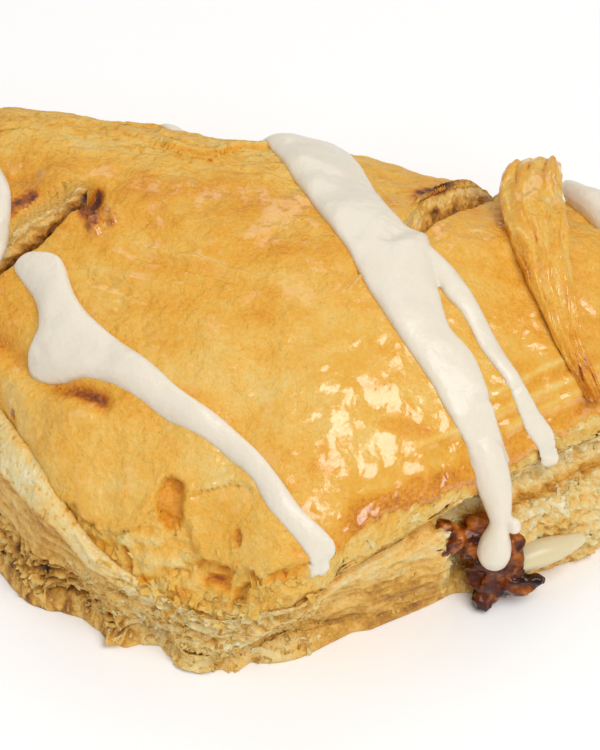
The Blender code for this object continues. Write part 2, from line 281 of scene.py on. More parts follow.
def upper_reach(direction):
    """How far the upper sheet goes from the heart: a polygon with soft corners."""
    total = np.zeros_like(direction)
    for side, distance in UPPER_SHEET:
        total += np.maximum(0.0, np.cos(np.radians(direction - side)) / distance) ** CORNER_SHARPNESS
    return total ** (-1 / CORNER_SHARPNESS)


def dome_height(x, y):
    """The height of the plain upper sheet, from its crown down to its rim."""
    direction = np.degrees(np.arctan2(y, x))
    share = np.minimum(1.0, np.hypot(x, y) / upper_reach(direction))
    rim = around(direction, RIM_HEIGHT)
    crown = CROWN_HEIGHT * (1 - 0.30 * np.abs((x - CROWN_MIDDLE) / HALF_LENGTH) ** 2.6)
    return rim + (crown - rim) * (1 - share * share) ** around(direction, SHOULDER)


def smooth_line(points, per_span=6):
    """A flowing line through a few points, by Catmull-Rom."""
    points = np.array(points, float)
    padded = np.vstack((points[:1], points, points[-1:]))
    spans = []
    for p0, p1, p2, p3 in zip(padded, padded[1:], padded[2:], padded[3:]):
        for t in np.arange(per_span) / per_span:
            spans.append(0.5 * (2 * p1 + (p2 - p0) * t + (2 * p0 - 5 * p1 + 4 * p2 - p3) * t * t
                                + (3 * p1 - p0 - 3 * p2 + p3) * t ** 3))
    return np.vstack((spans, points[-1:]))


def resample(line, count):
    """Even steps along a smooth line through the given points."""
    line = smooth_line(line, 12)
    run = np.concatenate(([0.0], np.cumsum(np.linalg.norm(np.diff(line, axis=0), axis=1))))
    steps = np.linspace(0, run[-1], count)
    return np.column_stack([np.interp(steps, run, line[:, k]) for k in range(line.shape[1])])


def beside(x, y, line):
    """Signed distance from a line (left is positive) and the share of the way along it."""
    best = np.full(x.shape, 1e9)
    signed = np.zeros(x.shape)
    share = np.zeros(x.shape)
    spans = len(line) - 1
    for k in range(spans):
        ax, ay = line[k][:2]
        dx, dy = line[k + 1][0] - ax, line[k + 1][1] - ay
        t = np.clip(((x - ax) * dx + (y - ay) * dy) / (dx * dx + dy * dy + 1e-12), 0, 1)
        gap = np.hypot(x - ax - t * dx, y - ay - t * dy)
        near = gap < best
        side = np.sign(dx * (y - ay) - dy * (x - ax))
        best = np.where(near, gap, best)
        signed = np.where(near, gap * side, signed)
        share = np.where(near, (k + t) / spans, share)
    return signed, share


def grain(x, y, z, size, seed=0, octaves=3):
    """Smooth noise of about -1 to 1 with lumps of the given size in millimetres."""
    shift = seed * 31.7
    return np.array([noise.fractal((a / size + shift, b / size, c / size), 1.0, 2.0, octaves)
                     for a, b, c in zip(x, y, z)])


def spot(x, y, centre, radii, turn=0.0):
    """1 at the centre of a turned ellipse, easing to 0 at its edge."""
    c, s = math.cos(math.radians(turn)), math.sin(math.radians(turn))
    across, along = x - centre[0], y - centre[1]
    reach = np.hypot((across * c + along * s) / radii[0], (along * c - across * s) / radii[1])
    return ease(1 - reach)


def set_attribute(mesh, name, values):
    """Store one number for each vertex, for a material to read."""
    layer = mesh.attributes.new(name, "FLOAT", "POINT")
    layer.data.foreach_set("value", np.asarray(values, np.float32))


def place(name, mesh, finish, *nodes, record_slot):
    points = np.empty(len(mesh.vertices) * 3, np.float32)
    mesh.vertices.foreach_get("co", points)
    points = points.reshape(-1, 3) * MM + np.array(HEART)
    mesh.vertices.foreach_set("co", points.ravel())
    mesh.polygons.foreach_set("use_smooth", np.ones(len(mesh.polygons), bool))
    mesh.materials.append(finish)
    mesh.update()
    piece = bpy.data.objects.new(name, mesh)
    bpy.context.collection.objects.link(piece)
    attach(piece, "root")
    if nodes:
        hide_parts(*nodes)
    return piece


def read_points(mesh):
    """A mesh's points and their normals, one row each."""
    points = np.empty(len(mesh.vertices) * 3, np.float32)
    mesh.vertices.foreach_get("co", points)
    normals = np.empty(len(mesh.vertices) * 3, np.float32)
    mesh.vertex_normals.foreach_get("vector", normals)
    return points.reshape(-1, 3).astype(float), normals.reshape(-1, 3).astype(float)


def write_points(mesh, points):
    """Move a mesh's points to new places."""
    mesh.vertices.foreach_set("co", points.astype(np.float32).ravel())
    mesh.update()


def square_grid(name, columns, rows):
    """A new mesh of a square grid, with its points' places across and down, -1 to 1 each way."""
    made = bmesh.new()
    bmesh.ops.create_grid(made, x_segments=columns, y_segments=rows, size=1.0)
    mesh = bpy.data.meshes.new(name)
    made.to_mesh(mesh)
    made.free()
    points, _ = read_points(mesh)
    return mesh, points[:, 0], points[:, 1]


def vent_shape(x, y):
    """At the vents: the sheet's rise or fall, its sideways curl, and where their walls and floors are."""
    rise = np.zeros_like(x)
    curl = np.zeros((len(x), 2))
    wall = np.zeros_like(x)
    floor_share = np.zeros_like(x)
    for vent in VENTS:
        sx, sy = vent["start"]
        rx, ry = vent["end"][0] - sx, vent["end"][1] - sy
        length = math.hypot(rx, ry)
        along = ((x - sx) * rx + (y - sy) * ry) / length ** 2
        across = (rx * (y - sy) - ry * (x - sx)) / length
        ends = between(along, 0, 1, 0.22, 0.22)
        half = vent["half_width"] * np.sqrt(np.sin(math.pi * np.clip(along, 0, 1)))
        inside = half + across
        beyond = across - half
        sunk = ends * ease(inside / 3.0) * ease(-beyond / 1.3)
        lifted = ends * ease(1 + beyond / 1.3) * ease(1 - beyond / 6.5)
        rise += vent["lip"] * lifted - vent["depth"] * sunk
        pull = ends * ease(1 + beyond / 1.4) * ease(1 - beyond / 3.0) * 1.3
        curl[:, 0] += pull * ry / length
        curl[:, 1] -= pull * rx / length
        wall += ends * ease((beyond + 2.4) / 0.8) * ease(0.25 - beyond / 0.8)
        floor_share += sunk
    return rise, curl, wall, floor_share


def sheet_points(u, v):
    """Map a square grid, -1 to 1 each way, into the upper sheet, finer where it is torn and seen."""
    ruler = np.linspace(-1, 1, 4001) * HALF_LENGTH
    cell = 0.24 + 0.12 * ease((np.abs(ruler + 7) - 21) / 8) + 0.40 * ease((np.abs(ruler + 1) - 49) / 12)
    count = np.cumsum(1 / cell)
    count = (count - count[0]) / (count[-1] - count[0]) * 2 - 1
    across = np.interp(u, count, ruler)
    share = np.maximum(np.abs(across) / HALF_LENGTH, np.abs(v))
    direction = np.arctan2(v * HALF_DEPTH, across)
    degrees = np.degrees(direction)
    bend = around(degrees, ((90, 0.9), (0, 0.6), (-90, 0.45), (180, 0.6)))
    share = (1 - bend) * share + bend * np.sin(share * math.pi / 2)
    reach = share * upper_reach(degrees)
    return reach * np.cos(direction), reach * np.sin(direction)


def skin_side(x, y):
    """Distance into the skinned part of the sheet, negative where the skin has broken away."""
    edge, _ = beside(x, y, smooth_line(SKIN_EDGE, 4))
    return edge + 0.45 * grain(x, y, x * 0, 1.7, 5) + 0.22 * grain(x, y, x * 0, 0.55, 6, 2)


mesh, u, v = square_grid("glazed_top", SHEET_COLUMNS, SHEET_ROWS)
x, y = sheet_points(u, v)
vent_rise, vent_curl, vent_wall, vent_floor = vent_shape(x, y)
z = dome_height(x, y) + vent_rise
write_points(mesh, np.column_stack((x + vent_curl[:, 0], y + vent_curl[:, 1], z)))
points, normals = read_points(mesh)

swell = 0.75 * grain(x, y, z, 14.0, 1, 2) + 0.34 * grain(x, y, z, 4.5, 2, 2)
lit = ease((35 - np.hypot(x - 26, (y + 14) * 1.3)) / 22)
swell += 0.16 * grain(x, y, z, 1.5, 3, 3) * (1 - 0.5 * lit)
swell += 1.1 * spot(x, y, (-42, 26), (26, 15)) - 1.4 * spot(x, y, (15, 26), (22, 14))
streak = grain(x * 0.5 + y * 0.6, y * 0.9 - x * 0.4, z, 5.5, 4, 4)
tone = 0.49 + 0.10 * streak
glaze = np.full(len(x), 0.485) + 0.10 * grain(x, y, z, 8.0, 16, 2)
# Towards the front right the skin is smoother and wetter; pools of glaze shine there, with a dry, deep
# brown patch among them. The lighter tone over this lit zone and on the pools is painted light.
glaze += 0.11 * lit
tone -= 0.07 * lit
for centre, radii, turn, wetter, darker in (
        ((17.0, -15.9), (5.5, 2.3), 22, 0.24, -0.03), ((23.5, -19.8), (4.0, 1.5), 35, 0.26, -0.03),
        ((13.8, -31.2), (3.2, 1.5), 58, 0.26, -0.03), ((18.2, -26.2), (2.4, 0.9), 48, 0.22, -0.03),
        ((33.0, -1.0), (5.0, 2.0), 5, 0.20, -0.03), ((37.4, -6.2), (3.2, 1.0), 35, 0.24, -0.03),
        ((19.4, -18.7), (7.0, 1.7), 14, -0.34, 0.14)):
    pool = ease(1.7 * spot(x, y, centre, radii, turn))
    glaze += wetter * pool
    tone += darker * pool

# Where the skin is gone the sheet is a little lower, matt and paler: crumpled leaves at the near
# corner with orange hollows, and soft fibres down the right-hand face.
inside_skin = skin_side(x, y)
bare = ease(-inside_skin / 0.35)
face = bare * ease((x - 9) / 5)
nook = bare - face
flaky = grain(x, y * 1.4, z * 2.0, 3.4, 7, 4)
fold = np.clip(1 - np.abs(grain(x, y, z * 1.2, 4.6, 18, 2)) * 3.2, -1, 1)
swell += nook * (-0.8 + 0.45 * flaky + 0.30 * fold + 0.40 * grain(x, y * 1.3, z * 2.0, 1.1, 8, 3))
swell += 0.28 * ease(inside_skin / 0.25) * ease(1 - inside_skin / 1.6)
tone += nook * (-0.12 - 0.14 * flaky - 0.08 * fold)
glaze -= 0.25 * nook
strands = grain(x * 1.1 - y * 1.1, (x + y) * 0.35, z * 2.6, 2.0, 17, 4)
swell += face * (-0.45 + 0.55 * strands + 0.30 * grain(x, y, z, 0.7, 19, 2))
# The bare face is paler along its fibres; the dark spot at the fold under the front icing's tip is painted
# shade.
tone += face * (-0.15 - 0.20 * strands) + 0.24 * bare * ease(1.6 * spot(x, y, (8.2, -36.9), (3.6, 2.2), 35))
glaze -= 0.5 * face
# A torn hole opens onto an orange layer; beside it a loose piece of skin stands up along a crack,
# and small scorched pits lie among the leaves.
hole = spot(x, y, (-10.2, -33.2), (2.3, 3.0), 12)
ragged = hole + 0.12 * grain(x, y, z, 1.0, 29, 2) * (hole > 0)
swell -= 1.3 * ease(ragged * 9) * bare
tone += bare * ease(ragged * 14) * (0.54 - tone)
channel = spot(x, y, (-10.2, -36.2), (3.4, 3.0), 0) * bare
tone += 0.10 * channel
crack, run = beside(x, y, smooth_line(CRACK, 5))
crack = crack + 0.45 * grain(x, y, z, 1.1, 22, 3)
opened = between(run, 0, 1, 0.05, 0.05) * (0.35 + 0.65 * ease(grain(x, y, z, 2.6, 25) + 0.6))
opened *= 1 - 0.6 * ease((run - 0.42) / 0.12)
swell += opened * (0.65 * ease((crack + 0.1) / 0.3) * ease(1 - crack / 2.2) - 0.6 * bell(crack, 0.16))
tone += opened * (0.20 * bell(crack, 0.14) - 0.16 * ease((crack + 0.1) / 0.3) * ease(1 - crack / 0.9))
for centre, radii, turn, depth, scorch in (
        ((-3.6, -38.4), (3.2, 1.1), -8, 0.9, 0.13), ((-7.8, -39.2), (1.7, 0.7), 5, 0.9, 0.15),
        ((-2.8, -39.6), (2.4, 1.0), 0, 0.3, 0.12), ((0.6, -40.6), (1.6, 0.9), 20, 1.4, 0.10),
        ((5.5, -39.4), (2.6, 0.6), 12, 0.5, 0.22), ((-0.3, -35.8), (0.7, 1.2), 25, 0.9, 0.20),
        ((-15.6, -38.4), (1.6, 0.5), -50, 0.8, 0.20)):
    pit = spot(x, y, centre, radii, turn)
    pit = pit + 0.22 * grain(x, y, z, 0.9, 29, 2) * (pit > 0)
    swell -= depth * ease(pit * 3)
    tone += scorch * ease(pit * 5)

# The stained crease on the left, and the pressed bands along the right-hand rim.
crease, run = beside(x, y, smooth_line(CREASE))
pinch = bell(crease, 1.3) * between(run, 0, 1, 0.1, 0.12)
swell += -1.1 * pinch + 0.5 * bell(crease + 2.2, 1.4) * between(run, 0, 1, 0.2, 0.2)
tone += 0.36 * pinch * (0.35 + 0.9 * bell(run - 0.78, 0.16))
for band in (((20.0, -20.5), (24.1, -17.3), (30.5, -11.0), (35.9, -5.8), (41.2, -0.2), (50.0, 8.0)),
             ((31.0, -13.2), (33.3, -10.7), (38.0, -5.6), (42.7, -0.5), (52.0, 8.0)),
             ((27.0, -12.0), (31.0, -8.0), (36.0, -2.5), (42.0, 3.5))):
    off, run = beside(x, y, smooth_line(band))
    fade = between(run, 0, 1, 0.15, 0.25)
    swell += 0.55 * fade * (ease((off + 0.8) / 1.0) - 0.5) * bell(off, 2.2)
    tone += fade * (0.09 * bell(off + 1.0, 0.7) - 0.20 * bell(off - 0.3, 0.3))
    glaze += 0.16 * fade * bell(off - 1.5, 1.6)

# A faint fold runs back from the blistered pip, and a score mark runs down from the right vent.
for mark, width, deep in ((((-27.0, 1.5), (-20.0, -0.5), (-10.0, -2.5), (-4.0, -4.0)), 1.6, 0.35),
                          (((-30.0, -3.5), (-22.0, -6.0), (-12.0, -6.5)), 1.8, 0.30),
                          (((11.0, 7.0), (9.5, 3.0), (7.0, -4.0)), 0.7, 0.35)):
    off, run = beside(x, y, smooth_line(mark))
    fade = between(run, 0, 1, 0.25, 0.25)
    swell += deep * fade * np.sin(np.clip(off / width, -1, 1) * math.pi)
    tone -= 0.08 * fade * bell(off - width * 0.5, width)

# Fine flaky cracks run along the back ridge, with a wavy one beside the icing.
behind = ease((y - 14) / 7) * (0.30 + 0.70 * ease((6 - x) / 16))
cracked = grain(x / 7.0, y / 1.3 + 0.25 * np.sin(x / 4.0), z / 1.3, 1.0, 9, 4)
split = bell(cracked, 0.035) * behind
swell += behind * 0.15 * np.sign(cracked) * ease(np.abs(cracked) / 0.12) - 0.25 * split
tone += 0.28 * split - 0.13 * behind
glaze -= 0.30 * behind
off, run = beside(x, y, smooth_line(((-27, 23.0), (-22, 21.2), (-17.5, 21.8), (-13.5, 25.5), (-10.0, 27.6),
                                     (-6.0, 27.4), (-2.0, 26.0))))
ridge = between(run, 0, 1, 0.1, 0.1)
off = off + 0.5 * grain(x, y, z, 3.0, 23, 2)
swell += ridge * (0.8 * ease((off + 0.2) / 0.4) * ease(1 - off / 2.4) - 0.4 * bell(off, 0.2))
tone += ridge * (0.22 * bell(off, 0.18) - 0.14 * bell(off - 0.7, 0.5))

# Scorched spots: the blistered pip and pocket by the left vent, and caught bits at the vents.
pip = spot(x, y, (-28.8, 4.8), (3.2, 3.4))
swell += ease(pip * 2) * (0.7 + 1.5 * grain(x, y, z, 1.3, 10, 3))
swell -= 0.5 * spot(x, y, (-29.0, 4.6), (1.2, 1.4))
tone += 0.11 * ease(pip * 2.5) + 0.20 * ease(pip * 3) * (grain(x, y, z, 1.6, 20, 2) + 0.3)
glaze += 0.3 * pip
pocket = spot(x, y, (-31.4, 8.6), (5.2, 3.0), 92)
swell -= 1.5 * pocket
tone += 0.34 * ease(pocket * 1.8) + 0.12 * ease(spot(x, y, (-30.9, 9.2), (3.0, 1.2), 92) * 1.6)
for centre, radii, turn, scorch in (
        ((13.8, 22.4), (5.6, 2.4), 68, 0.36), ((-41.6, 7.4), (4.4, 1.4), 46, 0.32),
        ((-36.0, 22.6), (2.4, 0.8), 5, 0.20), ((-49.0, 21.4), (3.6, 0.9), 5, 0.30),
        ((-34.8, -21.9), (1.0, 0.5), -60, 0.42), ((-34.6, 3.0), (2.6, 0.8), 50, 0.12)):
    burnt = spot(x, y, centre, radii, turn)
    tone += scorch * ease(burnt * 1.8) * (0.75 + 0.7 * grain(x, y, z, 1.5, 28, 3))
    glaze += 0.25 * burnt

# A brown line runs along the front edge of the skin; the vents' far walls are pale, their floors dark.
near_rim = ease(1.3 - np.abs(inside_skin - 0.6) / 1.7) * (1 - bare)
front_right = between(x, 8, 60, 8, 20)
tone += near_rim * front_right * (1 - 0.3 * ease((x - 28) / 8)) * (0.635 - tone)
tone -= 0.10 * ease((-y - 4) / 16) * ease((12 - x) / 14) * (1 - bare)
walled = np.clip(vent_wall, 0, 1)
tone = np.where(vent_wall > 0.02, tone * (1 - walled) + 0.14 * walled, tone)
tone += 0.42 * ease((vent_floor - 0.55) / 0.4) * (1 - walled)
glaze -= 0.7 * np.clip(vent_wall + vent_floor, 0, 1)
points += normals * swell[:, None]
write_points(mesh, points)

# The rim turns down over the cut edge, and the sheet is closed underneath inside the crumb.
set_attribute(mesh, "tone", tone)
set_attribute(mesh, "glaze", glaze)
top = bmesh.new()
top.from_mesh(mesh)
ring = [edge for edge in top.edges if edge.is_boundary]
for inward, down in ((0.15, 0.35), (1.2, 0.5), (5.0, 1.0)):
    extruded = bmesh.ops.extrude_edge_only(top, edges=ring)["geom"]
    ring = [part for part in extruded if isinstance(part, bmesh.types.BMEdge)]
    for vert in (part for part in extruded if isinstance(part, bmesh.types.BMVert)):
        reach = math.hypot(vert.co.x, vert.co.y)
        vert.co.x *= 1 - inward / reach
        vert.co.y *= 1 - inward / reach
        vert.co.z -= down
bmesh.ops.edgenet_fill(top, edges=ring)
bmesh.ops.recalc_face_normals(top, faces=top.faces)
top.to_mesh(mesh)
top.free()
top_piece = place("glazed_top", mesh, glazed_dough, "pastry_crust", record_slot="pastry")

# ==== Lower sheet and cut edges: the crumb =======================================================
# The two cut edges and what lies between them: soft pale layers under the skin on the left, a broken
# flaky corner in front, a brown lip with the filling's seam above it, and fluffy crumb on the right.
SEAM_HEIGHT = ((90, 7), (20, 9), (-15, 14), (-42, 16.0), (-66, 15.6), (-80, 11.5), (-95, 5), (-107, 9),
               (-117, 13), (-128, 17.5), (-150, 18.5), (-170, 15), (165, 11), (140, 7))
SEAM_DEPTH = ((90, 0.3), (30, 0.5), (10, 2.0), (-18, 2.4), (-34, 5.5), (-42, 4.6), (-60, 3.6), (-76, 2.6),
              (-90, 1.0), (-100, 0.6), (-140, 0.4), (-165, 1.0), (165, 0.8), (150, 0.3))
# How far the wall above the foot draws in, and how far the foot itself stands in or out.
BASE_TRIM = ((90, 0), (-20, 0), (-40, -0.8), (-62, -1.8), (-78, -3.6), (-88, -2.6), (-98, -1.6),
             (-107, -4.2), (-114, -1.4), (-121, -2.8), (-130, -1.4), (-140, -1.9), (-165, -1.5), (150, 0))
FOOT_TRIM = ((90, 0), (0, -0.6), (-14, -1.0), (-18, -1.9), (-22, -1.6), (-27, 0), (-60, 0), (-66, -1.0),
             (-74, -1.3), (-84, -1.7), (-87, -1.9), (-90, 0), (-100, 0.2), (-103, -0.4), (-106, -1.6),
             (-109, -0.9), (-111.5, 0.6), (-115, 0.3), (-118, -0.7), (-122, -1.4), (-125.5, -0.8),
             (-128, 0.3), (-131, 0.9), (-134, 0.6), (-139, 0), (150, 0))
# How far the pale left-hand band leans out over the overhang, and where the crumb is closed up to
# the sheet's rim.
BAND_SPREAD = ((90, 0), (-90, 0), (-104, 0.3), (-114, 0.55), (-130, 0.60), (-165, 0.55), (165, 0.3),
               (140, 0))
CLOSED = ((90, 0), (-62, 0), (-74, 0.6), (-110, 0.7), (-122, 1), (-155, 1), (-170, 0.3), (170, 0), (150, 0))
COLUMNS = 900
ROWS = 108


def lower_reach(direction):
    """How far the lower sheet goes from the heart, out past the upper one."""
    return upper_reach(direction) + around(direction, LOWER_OVERHANG)


def column_directions(share):
    """Spread the columns round the outline, five times denser where the cut edges face the table's front."""
    turn = np.linspace(90, -270, 3601)
    reach = lower_reach(turn)
    x, y = polar(reach, turn)
    front = between(turn, -195, 25, 15, 15)
    steps = np.hypot(np.diff(x), np.diff(y)) * (0.2 + 0.8 * front[1:])
    count = np.concatenate(([0.0], np.cumsum(steps)))
    return np.interp(share, count / count[-1], turn)


mesh, u, v = square_grid("crumb", COLUMNS, ROWS)
turn = column_directions((u + 1) / 2)
down = (1 - v) / 2
degrees = (turn + 180) % 360 - 180
upper, lower = upper_reach(degrees), lower_reach(degrees)
rim, seam = around(degrees, RIM_HEIGHT), around(degrees, SEAM_HEIGHT)
notch = around(degrees, SEAM_DEPTH)
inner = upper * 0.86
inner_z = dome_height(*polar(inner, degrees)) - 4.5
spread = around(degrees, BAND_SPREAD) * (lower - upper)
rest = lower - upper - spread
foot = lower + around(degrees, FOOT_TRIM)
leaning = spread / np.maximum(lower - upper, 0.1)
closed = around(degrees, CLOSED)
profile = (
    # share of the way down, reach, height
    (0.0, inner, inner_z),
    (0.04, upper - 1.2, rim - 2.2 + 1.3 * closed),
    (0.08, upper - 0.15, rim - 0.15 + 0.4 * closed),
    (0.24, upper - 0.3 * notch - 0.2 + 0.45 * spread, rim - 0.4 * (rim - seam)),
    (0.46, upper - notch + spread, seam + 0.5),
    (0.52, upper + 0.15 * rest - 0.4 * notch + spread, seam - 0.3 - 2.0 * leaning),
    (0.60, upper + 0.45 * rest + spread, seam - 2.0 - 8.0 * leaning),
    (0.80, foot, (0.42 - 0.25 * leaning) * seam),
    (0.93, foot - 0.5, 1.2 + 0 * rim),
    (1.0, foot - 1.8, 0 * rim),
)
reach, z = np.zeros_like(down), np.zeros_like(down)
for (start, reach_0, z_0), (end, reach_1, z_1) in zip(profile, profile[1:]):
    here = (down >= start) & (down <= end)
    t = (down[here] - start) / (end - start)
    reach[here] = reach_0[here] * (1 - t) + reach_1[here] * t
    z[here] = z_0[here] * (1 - t) + z_1[here] * t


def rounded(values, passes=6):
    """Ease the corners of the profile, running down each column."""
    grid = values.reshape(ROWS + 1, COLUMNS + 1).copy()
    for _ in range(passes):
        grid[1:-1] = 0.25 * grid[:-2] + 0.5 * grid[1:-1] + 0.25 * grid[2:]
    return grid.ravel()


reach, z = rounded(reach), rounded(z)
x, y = polar(reach, degrees)
write_points(mesh, np.column_stack((x, y, z)))
points, normals = read_points(mesh)
outward = np.column_stack((*polar(1.0, degrees), np.full_like(x, 0.2)))
normals = normals * np.sign(np.sum(normals * outward, axis=1))[:, None]

# The zones of the edge: band, shelf and torn foot on the left, the near corner, the lip under the
# seam, the fluffy right-hand side, and the plain fold at the back.
bared = between(down, 0.05, 1, 0.08, 0.06)
left = between(turn, -206, -106, 20, 12)
band = left * ease((0.50 - down) / 0.06)
torn_left = left * ease((down - 0.60) / 0.06)
shelf = left * ease((down - 0.44) / 0.06) - torn_left
corner = between(degrees, -120, -72, 12, 8)
lip = between(degrees, -80, -42, 8, 6)
right = between(degrees, -46, 60, 6, 20)
back = 1 - np.clip(left + corner + lip + right, 0, 1)

along = np.radians(turn) * 45
lumps = grain(x, y, z, 6.5, 11, 2)
leaves = grain(along / 8.0, z / 1.0, reach / 9.0, 1.0, 12, 3)
sheets = grain(along / 14.0, z / 2.3, reach / 14.0, 1.0, 13, 2)
fibres = grain(x, y, z * 1.6, 1.5, 14, 4)
fluff = grain(x, y, z, 0.8, 15, 2)
fold = np.clip(1 - np.abs(grain(x, y, z * 1.5, 2.8, 21, 2)) * 3.2, -1, 1)
swell = 0.5 * lumps + back * (0.2 * leaves + 1.3 * np.sin(down * math.pi))
swell += band * (0.06 * fibres + 1.1 * np.sin(np.clip(down / 0.46, 0, 1) * math.pi))
swell += shelf * (0.35 * leaves + 0.15 * fibres - 0.6)
swell += torn_left * (0.35 * leaves + 0.7 * fibres + 0.4 * fold + 0.7 * fluff - 1.0)
swell += corner * (0.45 * sheets + 0.38 * leaves + 0.3 * fold + 0.25 * fibres + 0.2 * fluff - 0.3)
swell += lip * (0.30 * sheets + 0.34 * leaves + 0.12 * fibres + 0.10 * fluff - 0.3)
swell += right * (0.75 * fibres + 0.45 * fluff + 0.4 * sheets - 0.4)
groove = right * bell(down - 0.52 - 0.02 * sheets, 0.022)
swell -= 1.3 * groove
# Small hollows torn between the layers.
gap = ease((grain(x, y, z * 1.8, 1.3, 24, 2) - 0.22) / 0.16)
gap *= 0.9 * torn_left + 0.35 * corner + 0.30 * right + 0.06 * lip
swell -= 0.9 * gap
swell += around(degrees, BASE_TRIM) * ease((down - 0.42) / 0.3)
# The filling has burst the lip open; a leaf hangs off the left over a hollow, the crumb swells up
# under the rim there, and small hollows are caught black.
burst = spot(degrees, down * 30, (-34.5, 22), (7.5, 13))
swell -= 4.0 * ease(burst * 1.6)
swell += 2.4 * spot(degrees, down * 50, (-112.5, 47), (5.0, 3.5))
under_rim = spot(degrees, down * 50, (-118, 5.5), (10.0, 6.0))
swell += 0.8 * under_rim
swell -= 2.4 * spot(degrees, down * 50, (-110.5, 38), (5.0, 4.0))
darkening = np.zeros_like(x)
for heading, level, wide, tall, scorch in (
        (-138, 0.83, 3.8, 0.045, 1), (-135.6, 0.71, 2.2, 0.03, 0.9), (-134.5, 0.91, 2.6, 0.03, 0.9),
        (-128.4, 0.72, 2.6, 0.045, 1), (-126, 0.78, 2.0, 0.03, 0.7), (-142, 0.78, 2.4, 0.04, 0.8),
        (-131.5, 0.90, 2.6, 0.025, 0.8), (-120, 0.74, 2.6, 0.03, 0.5), (-112, 0.88, 3.0, 0.04, 0.5),
        (-88.5, 0.36, 2.6, 0.06, 0.5), (-103, 0.60, 2.4, 0.05, 0.35), (-97, 0.62, 3.0, 0.05, 0.35),
        (-80, 0.30, 2.0, 0.08, 0.4)):
    pit = spot(degrees, down * 40, (heading, level * 40), (wide, tall * 40 + 0.6)) * (1 + 0.9 * fibres)
    darkening += scorch * pit
swell -= 1.6 * np.clip(darkening, 0, 1)
pocks = ease((grain(x, y, z, 0.7, 27, 1) - 0.40) / 0.12) * band
swell -= 0.16 * pocks
darkening += 0.30 * pocks
swell *= bared
swell = np.clip(swell, -4.5, 2.2)
points += normals * swell[:, None]
points[:, 2] = np.maximum(points[:, 2], 0.0)

tone = back * (0.37 + 0.22 * down) + 0.22 * band + 0.46 * shelf + 0.53 * torn_left
# Scorched pits and pocks are dark; the torn hollows between the layers are darkened as painted shade.
tone += 0.60 * np.clip(darkening, 0, 1) + 0.26 * gap
# Painted light: the crumb under the rim at the left corner is lightened to fill the shadow there; a spot
# lower down is darker.
tone += 0.20 * spot(degrees, down * 50, (-116.5, 35), (5.5, 4.0)) - 0.16 * under_rim
# Painted shade: the crumb just under the front icing's tip is darkened.
tone += 0.20 * spot(degrees, down * 50, (-75, 5), (7.0, 8.0))
tone += corner * (0.25 + 0.10 * ease((down - 0.5) / 0.3))
tone += lip * (0.32 + 0.20 * ease((down - 0.62) / 0.2)) + right * (0.24 + 0.20 * ease((down - 0.80) / 0.12))
tone += 0.08 * lumps - 0.10 * leaves * (1 - band - 0.6 * back) - 0.08 * fold * (torn_left + corner)
tone -= (0.12 - 0.06 * back - 0.05 * corner) * fibres
tone -= (0.24 * torn_left + 0.06 * corner + 0.16 * right) * fluff
tone -= 0.16 * grain(x, y, z * 2.2, 5.0, 26, 3) * lip
tone += 0.30 * bell(down - 0.45, 0.05) * (lip + 0.5 * corner) + 0.30 * groove
# A brown line runs along the foot of the left band; the crumb's top rows, just under the skin's rim, are
# darkened as painted shade, except at the near corner.
tone += 0.26 * left * bell(down - 0.455, 0.03) + 0.10 * ease((0.17 - down) / 0.06) * (1 - corner)
glaze = 0.10 + 0.25 * corner * ease(lumps) + 0.12 * shelf + 0.28 * back
write_points(mesh, points)
set_attribute(mesh, "tone", tone)
set_attribute(mesh, "glaze", glaze)
crumb = bmesh.new()
crumb.from_mesh(mesh)
bmesh.ops.remove_doubles(crumb, verts=crumb.verts, dist=0.001)
ring = [edge for edge in crumb.edges if edge.is_boundary]
bmesh.ops.holes_fill(crumb, edges=ring, sides=0)
bmesh.ops.recalc_face_normals(crumb, faces=crumb.faces)
crumb.to_mesh(mesh)
crumb.free()
crumb_piece = place("layered_crumb", mesh, cut_dough, "pastry_crust", record_slot="pastry")


# ==== Torn walls inside the vents ================================================================
# Where the knife slit the top, the far wall of each slit shows the pale porous layers; a band just
# under the lip is darkened as painted shadow of the lip, and it is dark with filling at the bottom.
def vent_line(vent, along, across, drop):
    """Points by their share along a vent and millimetres towards the far lip, some drop under the dome."""
    sx, sy = vent["start"]
    rx, ry = vent["end"][0] - sx, vent["end"][1] - sy
    length = math.hypot(rx, ry)
    x, y = sx + rx * along - ry / length * across, sy + ry * along + rx / length * across
    return np.column_stack((x, y, dome_height(x, y) - drop))


